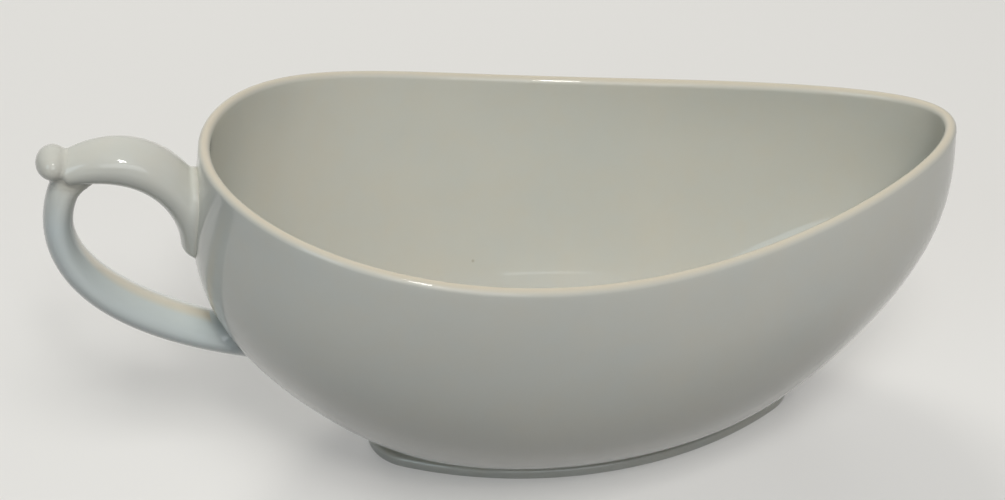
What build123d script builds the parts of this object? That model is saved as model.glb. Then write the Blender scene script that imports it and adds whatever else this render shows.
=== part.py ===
from build123d import *
import os
from math import atan2, comb, cos, hypot, radians, sin, tau

os.makedirs("parts", exist_ok=True)

# Bowl: overall sizes
bowl_length = 205.3  # outside, from the blunt back to the narrow front
bowl_width = 112.3  # outside, at the widest level

# Rim: height of the lip above the table, from the back to the front
rim_back = 100.3
rim_back_pull = 93.2
rim_dip_pull = 75.2
rim_waist_pull = 78.9
rim_nose_pull = 80.3
rim_front = 84.4
rim_spare = 4.7  # how far the wall is drawn on above the back of the rim, to be trimmed
hollow_spare = 1.0  # how far the hollow is drawn on above that

# Wall
lip_wall = 2.9  # thickness at the lip
lip_flat = 0.5  # width left level between the two roundings of the lip
base_wall = 3.8  # thickness where the wall leaves the foot
floor_thickness = 4.0
floor_corner = 12.0  # radius of the hollow between floor and wall

# Foot
foot_length = 123.2
foot_width = 56.0
foot_height = 3.5
foot_wall = 4.6  # width of the ring
foot_ledge = 2.0  # how far the ring stands proud of the wall above it
foot_end_radius = 15.0  # of the two ends of the oval
foot_round = 0.8  # rounding of the edges that touch the table
foot_bead = 1.2  # rounding of the outer edge under the bowl

# Knob that ends the upper scroll
knob_out = 30.0  # its centre, out from the back of the bowl
knob_rise = 0.7  # its centre, above the back of the rim
knob_radius = 4.0
knob_half_width = 5.6

# Upper scroll: the points that pull its line into shape, from the knob to the tip
neck_in = 1.9  # from the knob's centre towards the bowl
neck_drop = 3.8  # from the knob's centre down
crown_out = 13.9  # from the back of the bowl
crown_rise = 3.7  # above the back of the rim, as the rises and drops below are measured
shoulder_out = 7.5  # from the wall at the same height, as the sizes below are
shoulder_rise = 0.6
back_in = 3.0
back_drop = 15.9
tail_in = 2.0
tail_drop = 29.3
tip_out = 1.4
tip_drop = 33.7

# Lower scroll, from the knob to the wall
head_in = 2.8  # from the knob's centre towards the bowl
head_drop = 6.0  # from the knob's centre down
belly_out = 35.5  # from the back of the bowl
belly_drop = 16.3  # below the back of the rim
sweep_out = 34.9  # from the back of the bowl
sweep_drop = 40.8  # below the back of the rim
root_in = 2.7  # inside the face of the wall
root_height = 41.4  # above the table

# Half thickness and half width of the scrolls, from the knob to the bowl
upper_thickness = (5.3, 5.4, 5.5, 5.4, 4.5, 3.2)
upper_width = (5.2, 7.5, 7.8, 7.9, 7.0, 3.8)
lower_thickness = (4.2, 2.7, 5.6, 3.9)
lower_width = (5.6, 6.8, 7.6, 6.8)
tip_share = 0.1  # share of the upper scroll's line over which its tip is rounded

# Slip that joins the handle to the bowl
slip_thickness = 0.5
slip_collar = 0.9  # how far the slip shows round the clay that it holds

# Swell of the wall: share of the way from the foot to the widest reach, from the foot upwards
front_swell = (0.0, 0.225, 1.155, 1.185, 0.848, 1.03)
back_swell = (0.0, 0.345, 1.028, 1.21, 0.908, 0.886)
side_swell = (0.0, 1.02, 0.82, 1.08, 1.01, 0.977)
# How much blunter the back is than the front, and how full the quarters are, in the same way
egg = (0.0, 8.0, 18.2)
quarter = (-0.4, 0.3, -4.6)

# Where the surfaces are drawn through sections
section_points = 16
wall_levels = (0.0, 0.06, 0.14, 0.25, 0.38, 0.52, 0.68, 0.84, 1.0)
hollow_levels = (0.15, 0.32, 0.5, 0.7, 0.85, 1.0)
corner_angles = (0, 18, 36, 56, 90)
scroll_sections = 9
tip_angles = (30, 55, 75)
slope_step = 0.5  # height over which the slope of the wall is measured
line_step = 0.001  # share of a line over which its direction is measured
trim_margin = 5.0  # how far the trimming body reaches past the bowl

half_length = bowl_length / 2
half_width = bowl_width / 2
draw_height = rim_back + rim_spare
front = (front_swell, foot_length, half_length)
back = (back_swell, foot_length, half_length)
side = (side_swell, foot_width, half_width)


def blend(values, s):
    """Value at s of the smooth curve that these values pull into shape."""
    n = len(values) - 1
    return sum(comb(n, i) * s**i * (1 - s) ** (n - i) * value for i, value in enumerate(values))


def share_of_height(z):
    return (z - foot_height) / (draw_height - foot_height)


def outer_reach(direction, z):
    """How far the outside of the wall stands from the middle of the bowl at height z."""
    swell, foot, widest = direction
    start = foot / 2 - foot_ledge
    return start + (widest - start) * blend(swell, share_of_height(z))


def reach(direction, z, inset):
    """The same for the surface that lies inset inside the outside of the wall."""
    outside_z = z
    for _ in range(6):
        run = outer_reach(direction, outside_z + slope_step) - outer_reach(direction, outside_z)
        slope = run / slope_step
        outside_z = z - inset * slope / hypot(1, slope)
    return outer_reach(direction, outside_z) - inset / hypot(1, slope)


def closed_face(point_at):
    """Face inside the smooth closed curve through evenly turned points."""
    turns = [i / section_points for i in range(section_points + 1)]
    points = [point_at(tau * turn) for turn in turns[:-1]]
    return make_face(Edge.make_spline(points, periodic=True, parameters=turns))


def egg_section(z, ahead, behind, beside, s):
    """Level egg-shaped section with these reaches, at share s of the height of the wall."""
    blunt = blend(egg, s)
    fullness = blend(quarter, s)

    def point_at(turn):
        x = (ahead - behind) / 2 - blunt + (ahead + behind) / 2 * cos(turn) + blunt * cos(2 * turn)
        y = (beside + fullness) * sin(turn) + fullness * sin(3 * turn)
        return (x, y, z)

    return closed_face(point_at)


def level_section(z, inset=0.0, drawn_in=0.0):
    """Section of the bowl at height z, inset from the outside of its wall."""
    reaches = [reach(direction, z, inset) - drawn_in for direction in (front, back, side)]
    return egg_section(z, *reaches, share_of_height(z))


def hull(grow=0.0):
    """The bowl as if it were solid and not yet trimmed at the rim."""
    heights = [foot_height + (draw_height - foot_height) * s for s in wall_levels]
    return loft([level_section(z, -grow) for z in heights])


def wall_at(z):
    return base_wall + (lip_wall - base_wall) * share_of_height(z)


def hollow():
    """The space inside the bowl, with a round corner all round its floor."""
    floor = foot_height + floor_thickness
    sections = []
    for angle in corner_angles:
        z = floor + floor_corner * (1 - cos(radians(angle)))
        sections.append(level_section(z, wall_at(z), floor_corner * (1 - sin(radians(angle)))))
    wall_start = floor + floor_corner
    wall_end = draw_height + hollow_spare
    for s in hollow_levels:
        z = wall_start + (wall_end - wall_start) * s
        sections.append(level_section(z, wall_at(z)))
    return loft(sections)


rim_pulls = (rim_back, rim_back_pull, rim_dip_pull, rim_waist_pull, rim_nose_pull, rim_front)


def under_rim():
    """Everything below the line of the rim, seen from the side."""
    steps = len(rim_pulls) - 1
    line = Bezier(*[(-half_length + bowl_length * i / steps, z) for i, z in enumerate(rim_pulls)])
    first = line @ 0
    last = line @ 1
    front_x = half_length + trim_margin
    back_x = -half_length - trim_margin
    sides = Polyline(last, (front_x, last.Y), (front_x, 0), (back_x, 0), (back_x, first.Y), first)
    return extrude(Plane.XZ.offset(-bowl_width) * make_face(line + sides), 2 * bowl_width)


def bowl():
    shell = (hull() & under_rim()) - hollow()
    below_lip = min(rim_pulls) - lip_wall
    lip_edges = shell.edges().filter_by(lambda edge: edge.bounding_box().min.Z > below_lip)
    return fillet(lip_edges, (lip_wall - lip_flat) / 2)


def foot_oval(inset):
    """Oval of four tangent arcs, inset from the outside of the foot ring."""
    end = foot_end_radius
    half_foot = foot_length / 2
    half_breadth = foot_width / 2
    side_radius = (half_foot**2 + half_breadth**2 - 2 * half_foot * end) / (2 * (half_breadth - end))
    turn = atan2(side_radius - half_breadth, half_foot - end)
    join_x = half_foot - end + (end - inset) * cos(turn)
    join_y = (end - inset) * sin(turn)
    front_arc = ThreePointArc((join_x, -join_y), (half_foot - inset, 0), (join_x, join_y))
    side_arc = ThreePointArc((join_x, join_y), (0, half_breadth - inset), (-join_x, join_y))
    return make_face(front_arc + side_arc + front_arc.mirror(Plane.YZ) + side_arc.mirror(Plane.XZ))


def foot_ring():
    """Oval ring under the bowl, its outer side rounded to a soft bead."""
    block = extrude(foot_oval(0), foot_height)
    beaded = fillet(block.edges().group_by(Axis.Z)[-1], foot_bead)
    ring = beaded - extrude(foot_oval(foot_wall), foot_height)
    return fillet(ring.edges().group_by(Axis.Z)[0], foot_round)


def along(pulls, s):
    """Point of a line in the plane of the handle."""
    return Vector(blend([x for x, z in pulls], s), 0, blend([z for x, z in pulls], s))


def scroll_section(pulls, thickness, width, s, size=1.0):
    """Oval section of a strap, square to its line."""
    direction = along(pulls, s + line_step) - along(pulls, s - line_step)
    plane = Plane(along(pulls, s), x_dir=(0, 1, 0), z_dir=direction)
    wide = blend(width, s) * size
    thick = blend(thickness, s) * size
    return closed_face(lambda turn: plane.from_local_coords((wide * cos(turn), thick * sin(turn), 0)))


def scroll(pulls, thickness, width, grow=0.0, tip=0.0):
    """Strap of oval section along a line, its last share rounded off to a tip."""
    thicker = [half + grow for half in thickness]
    wider = [half + grow for half in width]
    shares = [(1 - tip) * i / (scroll_sections - 1) for i in range(scroll_sections)]
    sections = [scroll_section(pulls, thicker, wider, s) for s in shares]
    if tip:
        for angle in tip_angles:
            s = 1 - tip + tip * sin(radians(angle))
            sections.append(scroll_section(pulls, thicker, wider, s, cos(radians(angle))))
    return loft(sections)


def from_wall(out, z):
    """Point in the plane of the handle, so far out from the back of the wall."""
    return (-outer_reach(back, z) - out, z)


knob_x = -half_length - knob_out
knob_z = rim_back + knob_rise
upper_line = [
    (knob_x + neck_in, knob_z - neck_drop),
    (-half_length - crown_out, rim_back + crown_rise),
    from_wall(shoulder_out, rim_back + shoulder_rise),
    from_wall(-back_in, rim_back - back_drop),
    from_wall(-tail_in, rim_back - tail_drop),
    from_wall(tip_out, rim_back - tip_drop),
]
lower_line = [
    (knob_x + head_in, knob_z - head_drop),
    (-half_length - belly_out, rim_back - belly_drop),
    (-half_length - sweep_out, rim_back - sweep_drop),
    from_wall(-root_in, root_height),
]


def knob():
    """Rolled end of the upper scroll, a short round-ended roll that lies across the handle."""
    right_half = Pos(knob_radius, 0) * Rectangle(2 * knob_radius, 2 * knob_half_width)
    profile = Rot(0, 0, 90) * SlotOverall(2 * knob_half_width, 2 * knob_radius) & right_half
    return Pos(knob_x, 0, knob_z) * revolve(profile, Axis.Y)


clay = hull()
clay_and_slip = hull(slip_thickness)
thumb_knob = knob()
upper_whole = scroll(upper_line, upper_thickness, upper_width, tip=tip_share)
lower_whole = scroll(lower_line, lower_thickness, lower_width)
upper_bed = scroll(upper_line, upper_thickness, upper_width, slip_collar, tip_share)
lower_bed = scroll(lower_line, lower_thickness, lower_width, slip_collar)
upper_slip = (upper_bed & clay_and_slip) - clay
lower_slip = (lower_bed & clay_and_slip) - clay

parts = {
    "bowl": bowl(),
    "foot_ring": foot_ring(),
    "thumb_knob": thumb_knob,
    "upper_scroll": upper_whole - thumb_knob - clay - upper_slip,
    "lower_scroll": lower_whole - thumb_knob - upper_whole - clay - lower_slip,
    "upper_slip_joint": upper_slip,
    "lower_slip_joint": lower_slip,
}

# The origin is on the table, midway between the knob and the front
boxes = [part.bounding_box() for part in parts.values()]
middle = (min(box.min.X for box in boxes) + max(box.max.X for box in boxes)) / 2
for name, part in parts.items():
    export_step(Pos(-middle, 0, 0) * part, f"parts/{name}.step")
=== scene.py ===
"""White glazed bourdaloue, dressed over its packed clay pieces and set on a pale floor."""

from math import comb, cos, pi, radians, sin, tau

import bpy
from bpy.props import FloatProperty, FloatVectorProperty, PointerProperty
from mathutils import Matrix, Vector


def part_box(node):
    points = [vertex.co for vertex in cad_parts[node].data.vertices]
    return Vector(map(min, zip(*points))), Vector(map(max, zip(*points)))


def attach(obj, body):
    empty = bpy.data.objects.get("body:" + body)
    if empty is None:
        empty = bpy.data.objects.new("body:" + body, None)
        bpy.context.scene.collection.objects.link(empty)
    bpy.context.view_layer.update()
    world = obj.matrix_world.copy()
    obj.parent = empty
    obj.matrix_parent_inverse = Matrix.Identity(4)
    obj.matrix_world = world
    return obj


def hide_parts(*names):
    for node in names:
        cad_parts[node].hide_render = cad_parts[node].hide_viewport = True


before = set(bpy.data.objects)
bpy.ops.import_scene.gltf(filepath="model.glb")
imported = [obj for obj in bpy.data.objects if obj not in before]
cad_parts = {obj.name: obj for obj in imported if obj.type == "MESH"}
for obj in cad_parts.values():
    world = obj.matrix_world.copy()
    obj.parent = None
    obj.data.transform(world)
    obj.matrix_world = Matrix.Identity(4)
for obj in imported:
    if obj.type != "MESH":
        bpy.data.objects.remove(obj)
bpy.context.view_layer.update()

bl_info = {
    "name": "Glazed bourdaloue",
    "version": (1, 0, 0),
    "blender": (4, 5, 0),
    "location": "View3D > Sidebar > Bourdaloue",
    "description": "A boat-shaped glazed vessel with a double-scroll handle, on a pale floor",
    "category": "Add Mesh",
}

MM = 0.001
BOWL_LOW, BOWL_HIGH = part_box("bowl")
FOOT_LOW, FOOT_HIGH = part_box("foot_ring")
KNOB_LOW, KNOB_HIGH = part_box("thumb_knob")
MIDDLE_X = (FOOT_LOW.x + FOOT_HIGH.x) / 2
KNOB_X = (KNOB_LOW.x + KNOB_HIGH.x) / 2
KNOB_Z = (KNOB_LOW.z + KNOB_HIGH.z) / 2


def length(name, default, description, **more):
    """A size in metres, written in millimetres."""
    return FloatProperty(
        name=name, default=default * MM, description=description, subtype="DISTANCE", unit="LENGTH", precision=4, **more
    )


def lengths(name, default, description):
    """A row of sizes in metres, written in millimetres."""
    return FloatVectorProperty(
        name=name,
        default=[value * MM for value in default],
        size=len(default),
        description=description,
        unit="LENGTH",
        precision=4,
    )


def shares(name, default, description):
    return FloatVectorProperty(name=name, default=default, size=len(default), description=description, precision=3)


def colour(name, default, description):
    return FloatVectorProperty(
        name=name, default=default, size=3, description=description, subtype="COLOR", min=0.0, max=1.0
    )


class BourdaloueBowl(bpy.types.PropertyGroup):
    """Sizes of the bowl"""

    length: length("Length", 205.3, "From the blunt back to the narrow front, outside")
    width: length("Width", 112.3, "Across the widest level, outside")
    draw_height: length("Drawn height", 105.0, "Height over which the wall profiles are drawn")
    rim: lengths("Rim", (100.3, 93.2, 75.2, 78.9, 80.3, 84.4), "Heights that pull the rim's line, from back to front")
    lip_wall: length("Lip", 2.9, "Thickness of the wall at the lip")
    base_wall: length("Wall", 3.8, "Thickness of the wall at the foot")
    floor: length("Floor", 7.5, "Height of the floor inside, above the table")
    floor_corner: length("Floor corner", 12.0, "Height over which the wall turns into the floor")
    front_swell: shares("Front", (0.0, 0.225, 1.155, 1.185, 0.848, 1.03), "Swell of the front, from foot to rim")
    back_swell: shares("Back", (0.0, 0.345, 1.028, 1.21, 0.908, 0.886), "Swell of the back, from foot to rim")
    side_swell: shares("Sides", (0.0, 1.02, 0.82, 1.08, 1.01, 0.977), "Swell of the sides, from foot to rim")
    egg: lengths("Egg", (0.0, 8.0, 18.2), "How much blunter the back is than the front, from foot to rim")
    quarter: lengths("Quarters", (-0.4, 0.3, -4.6), "Fullness of the quarters, from foot to rim")


class BourdaloueFoot(bpy.types.PropertyGroup):
    """Sizes of the foot ring"""

    length: length("Length", 123.2, "Outside")
    width: length("Width", 56.0, "Outside")
    height: length("Height", 3.5, "From the table to the bowl")
    wall: length("Wall", 4.6, "Width of the ring")
    ledge: length("Ledge", 2.0, "How far the ring stands proud of the bowl's wall")
    end_radius: length("End radius", 15.0, "Of the two ends of the oval")


class BourdaloueHandle(bpy.types.PropertyGroup):
    """Sizes of the two scrolls and the knob, seen from the side"""

    upper_x: lengths("Upper line, along", (-131.6, -117.5, -105.6, -98.2, -100.7, -103.2), "From the bowl's middle")
    upper_z: lengths("Upper line, up", (98.4, 102.6, 100.2, 85.6, 73.5, 70.2), "Above the table")
    upper_thickness: lengths("Upper half thickness", (3.4, 7.2, 6.4, 5.0, 4.3, 2.9), "From knob to tail")
    upper_width: lengths("Upper half width", (5.2, 7.6, 7.9, 7.9, 7.0, 3.8), "From knob to tail")
    lower_x: lengths("Lower line, along", (-128.6, -139.2, -137.7, -89.7), "From the bowl's middle")
    lower_z: lengths("Lower line, up", (97.4, 83.4, 59.5, 41.4), "Above the table")
    lower_thickness: lengths("Lower half thickness", (4.0, 2.3, 5.7, 3.9), "From knob to root")
    lower_width: lengths("Lower half width", (3.2, 7.4, 7.6, 6.8), "From knob to root")
    knob_radius: length("Knob radius", 4.0, "Half thickness of the knob")
    knob_half_width: length("Knob half width", 5.6, "Half width of the knob, across the handle")
    melt: length("Melt", 5.5, "How far the two scrolls run into each other")
    knob_melt: length("Knob melt", 1.4, "How far the knob runs into the scrolls")
    upper_slip: length("Upper slip", 2.8, "How far the slip runs out round the seat of the upper scroll")
    lower_slip: length("Lower slip", 3.0, "How far the slip runs out round the seat of the lower scroll")


class BourdaloueGlaze(bpy.types.PropertyGroup):
    """Colours and gloss of the glaze"""

    body: colour("Glaze", (0.62, 0.61, 0.545), "Main colour")
    cool: colour("Thick glaze", (0.56, 0.585, 0.555), "Where the glaze lies thick")
    # Painted cool light: this blue stands in for cool window light. It tints the handle, and faintly the bowl's outer
    # wall, wherever the attribute named thick is set.
    blue: colour("Handle glaze", (0.50, 0.585, 0.62), "Where the glaze is thickest, on the handle")
    # Besides the random mottle, this warm colour is thin glaze over the lip, and painted warm light on the lower
    # scroll's inner face.
    warm: colour("Thin glaze", (0.66, 0.56, 0.40), "Where the glaze runs thin over an edge")
    # This colour is glaze pooled in creases and specks, and also painted shade on the bowl's lower outer wall.
    pooled_and_shade: colour("Pooled glaze", (0.33, 0.29, 0.20), "Where the glaze pools in a crease")
    clay: colour("Bare clay", (0.50, 0.43, 0.33), "Where the foot was wiped clean")
    roughness: FloatProperty(name="Roughness", default=0.42, min=0.0, max=1.0, description="Of the body colour")
    gloss: FloatProperty(name="Gloss roughness", default=0.045, min=0.0, max=1.0, description="Of the clear coat")


class BourdaloueStage(bpy.types.PropertyGroup):
    """Camera, floor and lamps"""

    focal_pixels: FloatProperty(name="Focal length", default=1650.0, description="In pixels of a 1005 pixel frame")
    distance: length("Distance", 472.05, "From the lens to the middle of the foot, along the view")
    pitch: FloatProperty(name="Pitch", default=radians(33.674), subtype="ANGLE", unit="ROTATION", description="Down")
    turn: FloatProperty(name="Turn", default=radians(12.861), subtype="ANGLE", unit="ROTATION", description="About Z")
    roll: FloatProperty(name="Roll", default=radians(-0.285), subtype="ANGLE", unit="ROTATION", description="Tilt")
    aim: FloatVectorProperty(name="Aim", default=(542.06, 416.27), size=2, description="Pixel of the aimed point")
    aim_back: length("Aim", 11.33, "Aimed point, behind the middle of the bowl")
    floor: colour("Floor", (0.86, 0.85, 0.83), "Colour of the floor as the camera sees it")
    floor_bounce: colour("Floor bounce", (0.03, 0.028, 0.025), "Colour that the floor throws back")


GROUPS = {
    "bourdaloue_bowl": BourdaloueBowl,
    "bourdaloue_foot": BourdaloueFoot,
    "bourdaloue_handle": BourdaloueHandle,
    "bourdaloue_glaze": BourdaloueGlaze,
    "bourdaloue_stage": BourdaloueStage,
}


class Field:
    """A number that varies over a surface, written with ordinary arithmetic in a node tree."""

    def __init__(self, tree, socket):
        self.tree = tree
        self.socket = socket

    def math(self, operation, *others):
        node = self.tree.nodes.new("ShaderNodeMath")
        node.operation = operation
        for place, value in enumerate((self, *others)):
            plug(self.tree, node.inputs[place], value)
        return Field(self.tree, node.outputs[0])

    def __add__(self, other):
        return self.math("ADD", other)

    def __sub__(self, other):
        return self.math("SUBTRACT", other)

    def __rsub__(self, other):
        return self.math("MULTIPLY_ADD", -1.0, other)

    def __mul__(self, other):
        return self.math("MULTIPLY", other)

    def __truediv__(self, other):
        return self.math("DIVIDE", other)

    def __rtruediv__(self, other):
        return self.math("POWER", -1.0) * other

    def __pow__(self, other):
        return self.math("POWER", other)

    __radd__ = __add__
    __rmul__ = __mul__


class Arrow:
    """A point or direction that varies over a surface, in the same way."""

    def __init__(self, tree, socket):
        self.tree = tree
        self.socket = socket

    def vector(self, operation, other=None, size=None):
        node = self.tree.nodes.new("ShaderNodeVectorMath")
        node.operation = operation
        plug(self.tree, node.inputs[0], self)
        if other is not None:
            plug(self.tree, node.inputs[1], other)
        if size is not None:
            plug(self.tree, node.inputs["Scale"], size)
        return node.outputs

    def __add__(self, other):
        return Arrow(self.tree, self.vector("ADD", other)[0])

    def __sub__(self, other):
        return Arrow(self.tree, self.vector("SUBTRACT", other)[0])

    def __mul__(self, size):
        return Arrow(self.tree, self.vector("SCALE", size=size)[0])

    def cross(self, other):
        return Arrow(self.tree, self.vector("CROSS_PRODUCT", other)[0])

    def unit(self):
        return Arrow(self.tree, self.vector("NORMALIZE")[0])

    def dot(self, other):
        return Field(self.tree, self.vector("DOT_PRODUCT", other)[1])

    def split(self):
        node = self.tree.nodes.new("ShaderNodeSeparateXYZ")
        plug(self.tree, node.inputs[0], self)
        return [Field(self.tree, output) for output in node.outputs]


def plug(tree, socket, value):
    """Feeds a field, an arrow, a socket or a plain value to a node's input."""
    if isinstance(value, (Field, Arrow)):
        tree.links.new(value.socket, socket)
    elif isinstance(value, bpy.types.NodeSocket):
        tree.links.new(value, socket)
    else:
        socket.default_value = value


def weights(s, count):
    """How much each of so many pulls counts at s along a smooth curve."""
    n = count - 1
    t = 1.0 - s
    rising, falling = [None, s], [None, t]
    for _ in range(n - 1):
        rising.append(rising[-1] * s)
        falling.append(falling[-1] * t)
    middle = [rising[i] * falling[n - i] * float(comb(n, i)) for i in range(1, n)]
    return [falling[n], *middle, rising[n]]


def drawn(shares, values):
    """Value of the curve whose pulls count by these shares."""
    total = shares[0] * values[0]
    for share, value in zip(shares[1:], values[1:]):
        total = share.math("MULTIPLY_ADD", value, total)
    return total


def ramp(field, low, high):
    """0 below low, 1 above high, and even between."""
    return ((field - low) / (high - low)).math("MAXIMUM", 0.0).math("MINIMUM", 1.0)


class Tree:
    """A Geometry Nodes tree with named inputs."""

    def __init__(self, name):
        self.nodes = bpy.data.node_groups.new(name, "GeometryNodeTree")
        self.nodes.is_modifier = True
        self.face = self.nodes.interface
        self.start = None
        self.values = {}
        self.fields = {}

    def add(self, kind, **inputs):
        """A node with some of its inputs fed, by their names with _ for spaces."""
        node = self.nodes.nodes.new(kind)
        for name, value in inputs.items():
            plug(self.nodes, node.inputs[name.replace("_", " ")], value)
        return node

    def input(self, name, kind, value):
        """A named input of the tree, as a socket."""
        item = self.face.new_socket(name=name, in_out="INPUT", socket_type=kind)
        self.values[item.identifier] = value
        if self.start is None:
            self.start = self.nodes.nodes.new("NodeGroupInput")
        return self.start.outputs[item.identifier]

    def number(self, name, value):
        return Field(self.nodes, self.input(name, "NodeSocketFloat", value))

    def numbers(self, name, values):
        return [self.number(f"{name} {i}", value) for i, value in enumerate(values, 1)]

    def grid_piece(self, columns, rows):
        """A sheet of columns by rows, and its two fields from 0 to 1."""
        grid = self.add("GeometryNodeMeshGrid", Size_X=1.0, Size_Y=1.0, Vertices_X=columns + 1, Vertices_Y=rows + 1)
        x, y, _ = Arrow(self.nodes, self.add("GeometryNodeInputPosition").outputs[0]).split()
        mesh, across, along = self.remember(grid.outputs["Mesh"], Across=("FLOAT", x + 0.5), Along=("FLOAT", y + 0.5))
        return mesh, Field(self.nodes, across), Field(self.nodes, along)

    def remember(self, mesh, **fields):
        """Holds fields as they are on the mesh now, for use after its points have moved."""
        held = self.add("GeometryNodeCaptureAttribute", Geometry=mesh)
        for name, (kind, value) in fields.items():
            held.capture_items.new(kind, name)
            plug(self.nodes, held.inputs[name], value)
        return (held.outputs["Geometry"], *(held.outputs[name] for name in fields))

    def arrow(self, x, y, z):
        return Arrow(self.nodes, self.add("ShaderNodeCombineXYZ", X=x, Y=y, Z=z).outputs[0])

    def place(self, mesh, where):
        """Moves the mesh's points."""
        return self.add("GeometryNodeSetPosition", Geometry=mesh, Position=where).outputs[0]

    def merge(self, mesh):
        """Closes seams and poles."""
        return self.add("GeometryNodeMergeByDistance", Geometry=mesh, Distance=0.02 * MM).outputs[0]

    def store(self, mesh, name, value):
        """Writes a field on the mesh's points, for the glaze to read."""
        node = self.add("GeometryNodeStoreNamedAttribute", Geometry=mesh, Name=name)
        node.data_type = "FLOAT"
        node.domain = "POINT"
        plug(self.nodes, node.inputs["Value"], value)
        return node.outputs[0]

    def finish(self, mesh, material):
        """Shades the mesh smooth and ends the tree."""
        mesh = self.add("GeometryNodeSetShadeSmooth", Geometry=mesh).outputs[0]
        mesh = self.add("GeometryNodeRealizeInstances", Geometry=mesh).outputs[0]
        mesh = self.add("GeometryNodeSetMaterial", Geometry=mesh, Material=material).outputs[0]
        self.face.new_socket(name="Geometry", in_out="OUTPUT", socket_type="NodeSocketGeometry")
        end = self.nodes.nodes.new("NodeGroupOutput")
        self.nodes.links.new(mesh, end.inputs[0])

    def make(self, name):
        """Runs the tree and keeps its result as a plain mesh object."""
        piece = bpy.data.objects.new(name, bpy.data.meshes.new(name))
        bpy.context.scene.collection.objects.link(piece)
        modifier = piece.modifiers.new("Shape", "NODES")
        modifier.node_group = self.nodes
        for identifier, value in self.values.items():
            modifier[identifier] = value
        bpy.context.view_layer.update()
        graph = bpy.context.evaluated_depsgraph_get()
        mesh = bpy.data.meshes.new_from_object(piece.evaluated_get(graph))
        piece.modifiers.remove(modifier)
        piece.data = mesh
        mesh.name = name
        return piece


def keep(piece, slot, *nodes):
    """Hands a finished piece to the frame in place of its clay solids."""
    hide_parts(*nodes)
    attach(piece, "root")
    return piece


def stages(along, counts):
    """Cuts a field from 0 to 1 into stages of so many rows, each running from 0 to 1."""
    rows = sum(counts)
    edges = [sum(counts[:i]) / rows for i in range(len(counts) + 1)]
    return [ramp(along, low, high) for low, high in zip(edges, edges[1:])]


class BowlShape:
    """Outside of the bowl as fields: level egg-shaped sections whose reaches swell with height."""

    def __init__(self, tree, bowl, foot):
        self.tree = tree
        self.length = tree.number("Length", bowl.length)
        self.width = tree.number("Width", bowl.width)
        self.base = tree.number("Foot height", foot.height)
        self.draw = tree.number("Drawn height", bowl.draw_height)
        self.base_length = tree.number("Base length", foot.length - 2 * foot.ledge)
        self.base_width = tree.number("Base width", foot.width - 2 * foot.ledge)
        self.rim = tree.numbers("Rim", bowl.rim)
        self.front = tree.numbers("Front swell", bowl.front_swell)
        self.back = tree.numbers("Back swell", bowl.back_swell)
        self.side = tree.numbers("Side swell", bowl.side_swell)
        self.egg = tree.numbers("Egg", bowl.egg)
        self.quarter = tree.numbers("Quarter", bowl.quarter)
        self.spare_length = self.length - self.base_length
        self.spare_width = self.width - self.base_width
        self.draw_share = 1.0 / (self.draw - self.base).math("MAXIMUM", MM)

    def long_way(self, z):
        """Half length, offset of the middle and bluntness of the section at height z, and its share."""
        s = (z - self.base) * self.draw_share
        fine, coarse = weights(s, len(self.front)), weights(s, len(self.egg))
        ahead = drawn(fine, self.front)
        behind = drawn(fine, self.back)
        blunt = drawn(coarse, self.egg)
        half = ((ahead + behind) * self.spare_length + self.base_length * 2.0) * 0.25
        middle = (ahead - behind) * self.spare_length * 0.25 - blunt
        return half, middle, blunt, fine, coarse

    def point(self, waves, z):
        """Point of the outside at height z, and the level direction along the wall there."""
        half, middle, blunt, fine, coarse = self.long_way(z)
        fullness = drawn(coarse, self.quarter)
        beside = (drawn(fine, self.side) * self.spare_width + self.base_width) * 0.5 + fullness
        sine, cosine, sine_2, cosine_2, sine_3, cosine_3 = waves
        x = middle + half * cosine + blunt * cosine_2
        y = beside * sine + fullness * sine_3
        run_x = half * sine + blunt * sine_2 * 2.0
        run_y = beside * cosine + fullness * cosine_3 * 3.0
        return self.tree.arrow(x, y, z), self.tree.arrow(run_x * -1.0, run_y, 0.0)

    def rim_height(self, waves):
        """Height of the rim's line above the point of the wall at this turn."""
        z = self.rim[-1]
        for _ in range(2):
            half, middle, blunt, _, _ = self.long_way(z)
            x = middle + half * waves[1] + blunt * waves[3]
            z = drawn(weights(x / self.length + 0.5, len(self.rim)), self.rim)
        return z


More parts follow.
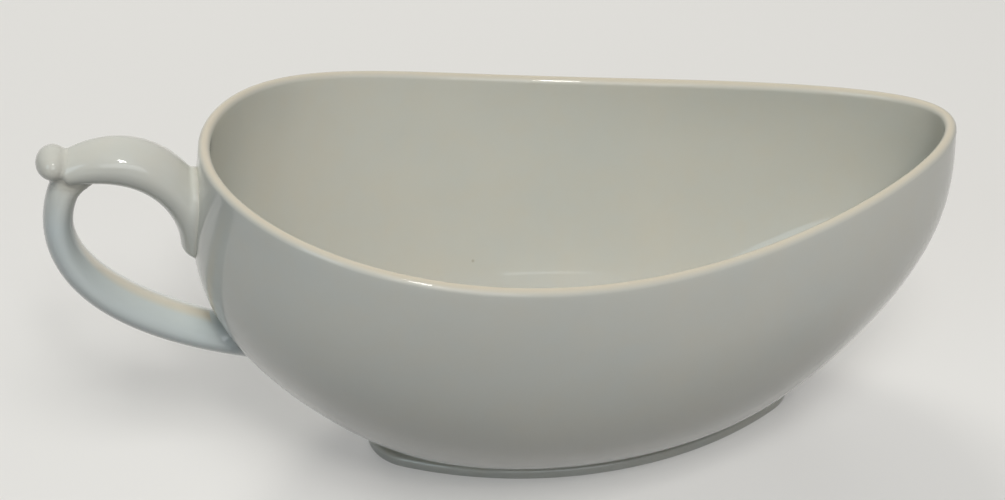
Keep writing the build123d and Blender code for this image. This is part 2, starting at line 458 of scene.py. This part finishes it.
def bowl_tree(bowl, foot, material):
    """Closed wall of the bowl: under the base, up the outside, over the lip and down to the floor."""
    tree = Tree("Bourdaloue bowl")
    shape = BowlShape(tree, bowl, foot)
    lip_wall = tree.number("Lip", bowl.lip_wall)
    base_wall = tree.number("Wall", bowl.base_wall)
    floor = tree.number("Floor", bowl.floor)
    corner = tree.number("Floor corner", bowl.floor_corner)
    around = 288
    counts = (6, 64, 16, 60, 18, 10)
    mesh, across, along = tree.grid_piece(around, sum(counts))
    under, outside, over, inside, turn_in, centre = stages(along, counts)
    turns = [across * (tau * times) for times in (1, 2, 3)]
    waves = [turn.math(wave) for turn in turns for wave in ("SINE", "COSINE")]

    lip_height = shape.rim_height(waves) - lip_wall * 0.5
    corner_height = floor + corner * 0.8
    z = shape.base + (lip_height - shape.base) * outside - (lip_height - corner_height) * inside
    step_up = 0.1 * MM
    point, level = shape.point(waves, z)
    above, _ = shape.point(waves, z + step_up)
    outward = level.cross(above - point).unit()
    upward = outward.cross(level).unit()

    wall = base_wall + (lip_wall - base_wall) * ((z - shape.base) * shape.draw_share)
    inset = wall * 0.5 * (1.0 - (over * pi).math("COSINE"))
    rise = wall * 0.5 * (over * pi).math("SINE")
    place = point - outward * inset + upward * rise

    x, y, height = place.split()
    up_x, up_y, up_z = upward.split()
    drop = (height - floor) / up_z
    foot_of_wall = place - upward * drop
    narrower = 0.72
    flat_x, flat_y, _ = foot_of_wall.split()
    on_floor = tree.arrow(flat_x * narrower, flat_y * narrower, floor)
    left = 1.0 - turn_in
    curve = place * (left * left) + foot_of_wall * (left * turn_in * 2.0) + on_floor * (turn_in * turn_in)
    x, y, height = curve.split()
    spread = under * (1.0 - centre)
    mesh = tree.merge(tree.place(mesh, tree.arrow(x * spread + MIDDLE_X, y * spread, height)))

    ridge = (over * pi).math("SINE")
    mesh = tree.store(mesh, "edge", ridge * ridge)
    outer = 1.0 - over
    # Painted shade: the outer wall and underside turn brown-dark from 58 mm down to 14 mm above the table. This is
    # mostly the shade of the lower wall, and partly glaze pooled towards the foot.
    mesh = tree.store(mesh, "pool", ramp(z, 58.0 * MM, 14.0 * MM) * outer * 0.6)
    # Painted cool light: a faint blue tint over the outer wall and underside.
    mesh = tree.store(mesh, "thick", outer * 0.15)
    tree.finish(mesh, material)
    return tree


def strap_mesh(tree, x, z, thickness, width, head, tail, counts, around=64):
    """Strap of oval section along a line in the plane of the handle, closed and rounded at both ends."""
    mesh, across, along = tree.grid_piece(around, sum(counts))
    start, run, end = stages(along, counts)
    quarter = pi / 2
    s = (1.0 - ((1.0 - start) * quarter).math("SINE")) * head
    s = s + run * (1.0 - head - tail) + (end * quarter).math("SINE") * tail
    size = (start * quarter).math("SINE") * (end * quarter).math("COSINE")
    here, further = weights(s, len(x)), weights(s + 0.002, len(x))
    place_x, place_z = drawn(here, x), drawn(here, z)
    run_x, run_z = drawn(further, x) - place_x, drawn(further, z) - place_z
    run_length = (run_x * run_x + run_z * run_z).math("SQRT")
    turn = across * tau
    thick = drawn(here, thickness) * size * turn.math("SINE") / run_length
    wide = drawn(here, width) * size * turn.math("COSINE")
    where = tree.arrow(place_x - run_z * thick + MIDDLE_X, wide, place_z + run_x * thick)
    return tree.merge(tree.place(mesh, where)), turn, s


def gap_to(tree, target):
    """Distance from each point to another piece, negative inside it."""
    nearest = tree.add("GeometryNodeProximity", Geometry=target)
    nearest.target_element = "FACES"
    facing = tree.add("GeometryNodeSampleNearestSurface", Mesh=target)
    facing.data_type = "FLOAT_VECTOR"
    plug(tree.nodes, facing.inputs["Value"], tree.add("GeometryNodeInputNormal").outputs[0])
    here = Arrow(tree.nodes, tree.add("GeometryNodeInputPosition").outputs[0])
    side = (here - nearest.outputs["Position"]).dot(facing.outputs["Value"]).math("SIGN")
    return Field(tree.nodes, nearest.outputs["Distance"]) * side


def melt(tree, mesh, target, reach, sink, sideways):
    """Spreads the mesh out where it comes within reach of another piece, so that the two run together.

    It sinks away further out, and spreads less across the handle than along it where sideways is under 1.
    """
    place = tree.add("GeometryNodeInputPosition").outputs[0]
    normal = tree.add("GeometryNodeInputNormal").outputs[0]
    depth = gap_to(tree, target)
    mesh, start, outward, depth = tree.remember(
        mesh, Start=("VECTOR", place), Outward=("VECTOR", normal), Depth=("FLOAT", depth)
    )
    start, outward = Arrow(tree.nodes, start), Arrow(tree.nodes, outward)
    depth = Field(tree.nodes, depth)
    across = outward.split()[1]
    share = ramp(depth, reach * -1.2, reach * -0.1) * (1.0 - across * across * (1.0 - sideways))
    spread = reach * 0.5
    for halving in range(2, 7):
        gap = gap_to(tree, target)
        trial = tree.place(mesh, start + outward * spread)
        near = (gap.math("MAXIMUM", 0.0) + reach * 0.05).math("MINIMUM", reach)
        wanted = (near + reach - (near * reach).math("SQRT") * 2.0) * share
        step = (wanted - spread).math("SIGN") * reach * 0.5**halving
        mesh, spread = tree.remember(trial, Spread=("FLOAT", step + spread))
        spread = Field(tree.nodes, spread)
    if sink:
        smooth = tree.add("GeometryNodeBlurAttribute", Value=spread, Iterations=4)
        spread = Field(tree.nodes, smooth.outputs["Value"]) - ramp(depth, reach, reach * 3.0) * sink
    return tree.place(mesh, start + outward * spread)


def piece_input(tree, name, piece):
    """Geometry of another finished piece, as an input of the tree."""
    socket = tree.input(name, "NodeSocketObject", piece)
    info = tree.add("GeometryNodeObjectInfo", Object=socket)
    return info.outputs["Geometry"]


def strap_tree(name, settings, which, material, tail, melts=(), painted_warm_light=0.0, thick=0.0, spare=0.0):
    """One scroll of the handle; melts are the pieces that it runs into, each with its reach."""
    head = 0.03
    tree = Tree(name)
    line_x = tree.numbers("Along", getattr(settings, f"{which}_x"))
    line_z = tree.numbers("Up", getattr(settings, f"{which}_z"))
    thickness = tree.numbers("Half thickness", getattr(settings, f"{which}_thickness"))
    width = tree.numbers("Half width", getattr(settings, f"{which}_width"))
    mesh, turn, s = strap_mesh(tree, line_x, line_z, thickness, width, head, tail, (10, 150, 16))
    pool = Field(tree.nodes, tree.add("ShaderNodeValue").outputs[0])
    for label, piece, reach, sink, sideways in melts:
        target = piece_input(tree, label, piece)
        reach = tree.number(f"{label} melt", reach) * (1.0 - ramp(s, 0.6, 0.97) * spare)
        mesh = melt(tree, mesh, target, reach, sink, sideways)
        crease = ramp(gap_to(tree, target), reach * 0.5, 0.0)
        pool = pool.math("MAXIMUM", crease * 0.45)
    mesh = tree.store(mesh, "pool", pool)
    # Painted warm light: a warm stripe along the middle of the scroll's inner face, which faces the bowl and up.
    inner = ramp(turn.math("SINE"), 0.9, 1.0) * ramp(s, 0.2, 0.5) * painted_warm_light
    mesh = tree.store(mesh, "edge", inner)
    # Painted cool light: the scroll turns blue from a little past its head, by its share.
    mesh = tree.store(mesh, "thick", ramp(s, 0.03, 0.25) * thick)
    tree.finish(mesh, material)
    return tree


def knob_tree(settings, melts, material):
    """Rolled knob, an oval ball that lies across the handle and runs into the upper scroll."""
    tree = Tree("Bourdaloue knob")
    thick = tree.number("Radius", settings.knob_radius)
    wide = tree.number("Half width", settings.knob_half_width)
    mesh, across, along = tree.grid_piece(96, 64)
    turn = across * tau
    rise = (along - 0.5) * pi
    round_out = rise.math("COSINE") * thick
    x = round_out * turn.math("SINE") + KNOB_X
    z = round_out * turn.math("COSINE") + KNOB_Z
    mesh = tree.merge(tree.place(mesh, tree.arrow(x, rise.math("SINE") * wide, z)))
    for label, piece, reach, sink, sideways in melts:
        target = piece_input(tree, label, piece)
        reach = tree.number(f"{label} melt", reach)
        mesh = melt(tree, mesh, target, reach, sink, sideways)
    mesh = tree.store(mesh, "pool", 0.0)
    mesh = tree.store(mesh, "edge", 0.0)
    mesh = tree.store(mesh, "thick", 0.0)
    tree.finish(mesh, material)
    return tree


def foot_tree(foot, material):
    """Ring along an oval of four tangent arcs, its section a rounded oblong."""
    tree = Tree("Bourdaloue foot")
    half_length = tree.number("Length", foot.length) * 0.5
    half_width = tree.number("Width", foot.width) * 0.5
    height = tree.number("Height", foot.height)
    wall = tree.number("Wall", foot.wall)
    end = tree.number("End radius", foot.end_radius)
    end_middle = half_length - end
    side = (half_length * half_length + half_width * half_width - half_length * end * 2.0) / (half_width - end) * 0.5
    side_middle = half_width - side
    mesh, across, along = tree.grid_piece(360, 48)
    turn = across * tau
    ahead, beside = turn.math("COSINE"), turn.math("SINE")
    at_end = (ahead.math("ABSOLUTE") * (side_middle * -1.0)).math("GREATER_THAN", beside.math("ABSOLUTE") * end_middle)
    at_side = 1.0 - at_end
    round_about = along * tau
    squareness = 0.62
    out = round_about.math("COSINE")
    up = round_about.math("SINE")
    out = out.math("SIGN") * out.math("ABSOLUTE") ** squareness
    up = up.math("SIGN") * up.math("ABSOLUTE") ** squareness
    reach = end * at_end + side * at_side - (1.0 - out) * wall * 0.5
    x = reach * ahead + ahead.math("SIGN") * end_middle * at_end + MIDDLE_X
    y = reach * beside + beside.math("SIGN") * side_middle * at_side
    mesh = tree.merge(tree.place(mesh, tree.arrow(x, y, (up + 1.0) * height * 0.5)))
    mesh = tree.store(mesh, "edge", 0.0)
    mesh = tree.store(mesh, "pool", ramp(up, 0.6, 1.0) * 0.4)
    mesh = tree.store(mesh, "thick", 0.0)
    tree.finish(mesh, material)
    return tree


class Shader:
    """A material's node tree, built a node at a time."""

    def __init__(self, name):
        self.material = bpy.data.materials.new(name)
        self.material.use_nodes = True
        self.nodes = self.material.node_tree
        self.surface = self.nodes.nodes["Principled BSDF"]

    def add(self, kind, **inputs):
        node = self.nodes.nodes.new(kind)
        for name, value in inputs.items():
            plug(self.nodes, node.inputs[name.replace("_", " ")], value)
        return node

    def field(self, socket):
        return Field(self.nodes, socket)

    def attribute(self, name):
        node = self.add("ShaderNodeAttribute")
        node.attribute_name = name
        return self.field(node.outputs["Fac"])

    def noise(self, where, scale, detail=3.0, roughness=0.5):
        node = self.add("ShaderNodeTexNoise", Vector=where, Scale=scale, Detail=detail, Roughness=roughness)
        return self.field(node.outputs["Fac"])

    def mix(self, share, first, second):
        node = self.add("ShaderNodeMix")
        node.data_type = "RGBA"
        plug(self.nodes, node.inputs["Factor"], share)
        for socket, value in ((node.inputs[6], first), (node.inputs[7], second)):
            plug(self.nodes, socket, (*value, 1.0) if isinstance(value, tuple) else value)
        return node.outputs[2]


def glaze_material(glaze):
    """Clear lead glaze over cream clay, with random cloud, mottle and specks: bluer on the handle and outer wall as
    painted cool light, warm on the lip where the glaze runs thin and as painted warm light on the lower scroll's inner
    face, brown where it pools in creases and as painted shade low on the outer wall.
    """
    shader = Shader("cream_glaze")
    place = shader.add("ShaderNodeTexCoord").outputs["Object"]
    cloud = ramp(shader.noise(place, 28.0), 0.35, 0.7)
    mottle = ramp(shader.noise(place, 160.0, 4.0), 0.4, 0.75)
    tint = shader.mix(cloud * 0.55, tuple(glaze.body), tuple(glaze.cool))
    tint = shader.mix(mottle * 0.12, tint, tuple(glaze.warm))
    # Painted cool light: blue wherever the attribute named thick is set, on the handle and faintly on the outer wall.
    tint = shader.mix(shader.attribute("thick") * 0.6, tint, tuple(glaze.blue))
    # Warm where the glaze runs thin over the lip. On the lower scroll's inner face, this warm stripe is painted warm
    # light.
    tint = shader.mix(shader.attribute("edge") * 0.6, tint, tuple(glaze.warm))
    # Brown where the glaze pools in creases, and painted shade low on the bowl's outer wall.
    tint = shader.mix(shader.attribute("pool") * 0.7, tint, tuple(glaze.pooled_and_shade))
    speck = shader.add("ShaderNodeTexVoronoi", Vector=place, Scale=95.0)
    speck.feature = "F1"
    dots = ramp(shader.field(speck.outputs["Distance"]), 0.06, 0.02)
    chosen = ramp(shader.noise(place, 40.0, 1.0), 0.62, 0.66)
    tint = shader.mix(dots * chosen * 0.6, tint, tuple(glaze.pooled_and_shade))
    plug(shader.nodes, shader.surface.inputs["Base Color"], tint)
    shader.surface.inputs["Roughness"].default_value = glaze.roughness
    shader.surface.inputs["Coat Weight"].default_value = 1.0
    shader.surface.inputs["Coat Roughness"].default_value = glaze.gloss
    shader.surface.inputs["Coat IOR"].default_value = 1.52
    waves = shader.noise(place, 22.0, 2.0)
    peel = shader.noise(place, 420.0, 2.0)
    height = waves * 1.0 + peel * 0.012
    bump = shader.add("ShaderNodeBump", Height=height, Distance=0.0006, Strength=0.25)
    plug(shader.nodes, shader.surface.inputs["Normal"], bump.outputs[0])
    plug(shader.nodes, shader.surface.inputs["Coat Normal"], bump.outputs[0])
    return shader.material


def finished_material(name):
    """A material that the glaze step has made."""
    material = bpy.data.materials.get(name)
    if material is None:
        raise RuntimeError(f"the material {name} isn't there: run the glaze step first")
    return material


class MakeGlaze(bpy.types.Operator):
    """Make the glaze"""

    bl_idname = "bourdaloue.make_glaze"
    bl_label = "Glaze"

    def execute(self, context):
        glaze_material(context.scene.bourdaloue_glaze)
        return {"FINISHED"}


class MakeBowl(bpy.types.Operator):
    """Make the bowl"""

    bl_idname = "bourdaloue.make_bowl"
    bl_label = "Bowl"

    def execute(self, context):
        scene = context.scene
        tree = bowl_tree(scene.bourdaloue_bowl, scene.bourdaloue_foot, finished_material("cream_glaze"))
        keep(tree.make("bowl_glazed"), "white_glaze", "bowl")
        return {"FINISHED"}


class MakeFoot(bpy.types.Operator):
    """Make the foot ring"""

    bl_idname = "bourdaloue.make_foot"
    bl_label = "Foot ring"

    def execute(self, context):
        tree = foot_tree(context.scene.bourdaloue_foot, finished_material("cream_glaze"))
        keep(tree.make("foot_ring_glazed"), "white_glaze", "foot_ring")
        return {"FINISHED"}


class MakeHandle(bpy.types.Operator):
    """Make the two scrolls, the knob between them and the slip that holds them to the bowl"""

    bl_idname = "bourdaloue.make_handle"
    bl_label = "Handle"

    def execute(self, context):
        sizes = context.scene.bourdaloue_handle
        glaze = finished_material("cream_glaze")
        bowl = bpy.data.objects["bowl_glazed"]
        tails = {"upper": 0.13, "lower": 0.02}
        # Shares of painted cool light, a blue tint, on each scroll.
        cool_light_shares = {"upper": 0.15, "lower": 1.0}
        spares = {"upper": 0.8, "lower": 0.0}
        upper_tree = strap_tree(
            "Bourdaloue upper scroll", sizes, "upper", glaze, tails["upper"], thick=cool_light_shares["upper"]
        )
        upper = keep(upper_tree.make("upper_scroll_glazed"), "white_glaze", "upper_scroll")
        knob = keep(
            knob_tree(sizes, [("Upper scroll", upper, sizes.knob_melt, 0.0, 0.6)], glaze).make("thumb_knob_glazed"),
            "white_glaze",
            "thumb_knob",
        )
        melts = [("Upper scroll", upper, sizes.melt, 0.0, 0.1), ("Knob", knob, sizes.knob_melt, 0.0, 0.1)]
        lower_tree = strap_tree(
            "Bourdaloue lower scroll", sizes, "lower", glaze, tails["lower"], melts, painted_warm_light=1.0, thick=cool_light_shares["lower"]
        )
        keep(lower_tree.make("lower_scroll_glazed"), "white_glaze", "lower_scroll")
        sink = 0.25 * MM
        for which, tail in tails.items():
            melts = [("Bowl", bowl, getattr(sizes, f"{which}_slip"), sink, 1.0)]
            tree = strap_tree(
                f"Bourdaloue {which} slip", sizes, which, glaze, tail, melts, thick=cool_light_shares[which], spare=spares[which]
            )
            keep(tree.make(f"{which}_slip_glazed"), "glazed_slip", f"{which}_slip_joint")
        return {"FINISHED"}


class MakeStage(bpy.types.Operator):
    """Make the floor, the lamps and the camera"""

    bl_idname = "bourdaloue.make_stage"
    bl_label = "Stage"

    def execute(self, context):
        stage = context.scene.bourdaloue_stage
        make_floor(stage)
        make_lamps()
        make_camera(stage)
        context.scene.view_settings.view_transform = "Standard"
        return {"FINISHED"}


def seen_directly(nodes, light):
    """1 for rays that show the background itself: the camera's, and those of gloss and glass."""
    seen = Field(nodes, light.outputs["Is Camera Ray"])
    for kind in ("Is Glossy Ray", "Is Transmission Ray"):
        seen = seen.math("MAXIMUM", Field(nodes, light.outputs[kind]))
    return seen


def make_floor(stage):
    """Plain pale floor, which throws back less light than the camera sees."""
    mesh = bpy.data.meshes.new("floor")
    half = 3.0
    corners = [(-half, -half, 0), (half, -half, 0), (half, half, 0), (-half, half, 0)]
    mesh.from_pydata(corners, [], [(0, 1, 2, 3)])
    floor = bpy.data.objects.new("floor", mesh)
    bpy.context.scene.collection.objects.link(floor)
    shader = Shader("floor")
    light = shader.add("ShaderNodeLightPath")
    seen = seen_directly(shader.nodes, light)
    tint = shader.mix(seen, tuple(stage.floor_bounce), tuple(share * 0.68 for share in stage.floor))
    shader.surface.inputs["Emission Color"].default_value = (*stage.floor, 1.0)
    plug(shader.nodes, shader.surface.inputs["Emission Strength"], seen * 0.24)
    plug(shader.nodes, shader.surface.inputs["Base Color"], tint)
    shader.surface.inputs["Roughness"].default_value = 0.7
    mesh.materials.append(shader.material)


LAMPS = [
    # name, size across and up in metres, power in watts, colour, place, whether the gloss shows it
    ("key", 0.6, 0.5, 9.5, (1.0, 0.98, 0.95), (0.0, -0.7, 1.25), False),
    ("front", 0.9, 0.5, 2.4, (0.94, 0.97, 1.0), (0.0, -1.3, 0.65), True),
    ("window", 0.5, 0.7, 2.0, (0.72, 0.89, 1.0), (-0.95, -0.85, 0.75), True),
    ("back", 0.5, 0.4, 6.0, (1.0, 0.99, 0.93), (-0.05, 0.85, 1.2), False),
    ("behind", 1.4, 0.6, 9.0, (1.0, 0.99, 0.96), (0.0, 1.5, 0.6), False),
    ("glint", 0.13, 0.24, 2.8, (1.0, 0.99, 0.96), (0.045, -0.87, 1.02), True),
]
LAMPS_AIM = Vector((0.0, 0.0, 0.05))


def make_lamps():
    for name, wide, high, power, tint, place, shown in LAMPS:
        lamp = bpy.data.lights.new(name, "AREA")
        lamp.shape = "RECTANGLE"
        lamp.size = wide
        lamp.size_y = high
        lamp.energy = power
        lamp.color = tint
        piece = bpy.data.objects.new(name, lamp)
        piece.location = place
        piece.rotation_euler = (LAMPS_AIM - Vector(place)).to_track_quat("-Z", "Y").to_euler()
        piece.visible_glossy = shown
        bpy.context.scene.collection.objects.link(piece)
    world = bpy.data.worlds.new("studio")
    world.use_nodes = True
    studio = world.node_tree.nodes["Background"]
    studio.inputs["Color"].default_value = (0.9, 0.9, 0.89, 1.0)
    seen = seen_directly(world.node_tree, world.node_tree.nodes.new("ShaderNodeLightPath"))
    pale, fill = 0.5, 0.03
    plug(world.node_tree, studio.inputs["Strength"], seen * (pale - fill) + fill)
    bpy.context.scene.world = world


def make_camera(stage):
    """Camera that sees the vessel as the photograph does, placed from the view's angles and the aimed pixel."""
    frame_width, frame_height = 1005, 500
    pitch, turn, roll = stage.pitch, stage.turn, stage.roll
    forward = Vector((cos(pitch) * sin(turn), cos(pitch) * cos(turn), -sin(pitch)))
    level = Vector((cos(turn), -sin(turn), 0.0))
    rise = level.cross(forward)
    right = level * cos(roll) + rise * sin(roll)
    up = rise * cos(roll) - level * sin(roll)
    shift_right = (stage.aim[0] - frame_width / 2) / stage.focal_pixels * stage.distance
    shift_up = -(stage.aim[1] - frame_height / 2) / stage.focal_pixels * stage.distance
    place = Vector((MIDDLE_X - stage.aim_back, 0, 0)) - forward * stage.distance - right * shift_right - up * shift_up
    lens = bpy.data.cameras.new("camera")
    lens.sensor_width = 36.0
    lens.lens = stage.focal_pixels * lens.sensor_width / frame_width
    lens.clip_start = 0.01
    camera = bpy.data.objects.new("camera", lens)
    camera.matrix_world = Matrix.Translation(place) @ Matrix((right, up, -forward)).transposed().to_4x4()
    bpy.context.scene.collection.objects.link(camera)
    bpy.context.scene.camera = camera


class BourdalouePanel(bpy.types.Panel):
    """Sizes, colours and steps of the bourdaloue"""

    bl_idname = "VIEW3D_PT_bourdaloue"
    bl_label = "Bourdaloue"
    bl_space_type = "VIEW_3D"
    bl_region_type = "UI"
    bl_category = "Bourdaloue"

    def draw(self, context):
        for step in STEPS:
            self.layout.operator(step.bl_idname)
        for name, group in GROUPS.items():
            box = self.layout.box()
            box.label(text=group.__doc__)
            for prop in group.__annotations__:
                box.prop(getattr(context.scene, name), prop)


STEPS = (MakeGlaze, MakeBowl, MakeFoot, MakeHandle, MakeStage)


def register():
    for name, group in GROUPS.items():
        bpy.utils.register_class(group)
        setattr(bpy.types.Scene, name, PointerProperty(type=group))
    for item in (*STEPS, BourdalouePanel):
        bpy.utils.register_class(item)


def unregister():
    for item in reversed((*STEPS, BourdalouePanel)):
        bpy.utils.unregister_class(item)
    for name, group in GROUPS.items():
        delattr(bpy.types.Scene, name)
        bpy.utils.unregister_class(group)


def main():
    register()
    bpy.ops.bourdaloue.make_glaze()
    bpy.ops.bourdaloue.make_bowl()
    bpy.ops.bourdaloue.make_foot()
    bpy.ops.bourdaloue.make_handle()
    bpy.ops.bourdaloue.make_stage()
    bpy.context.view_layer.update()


if __name__ == "__main__":
    main()
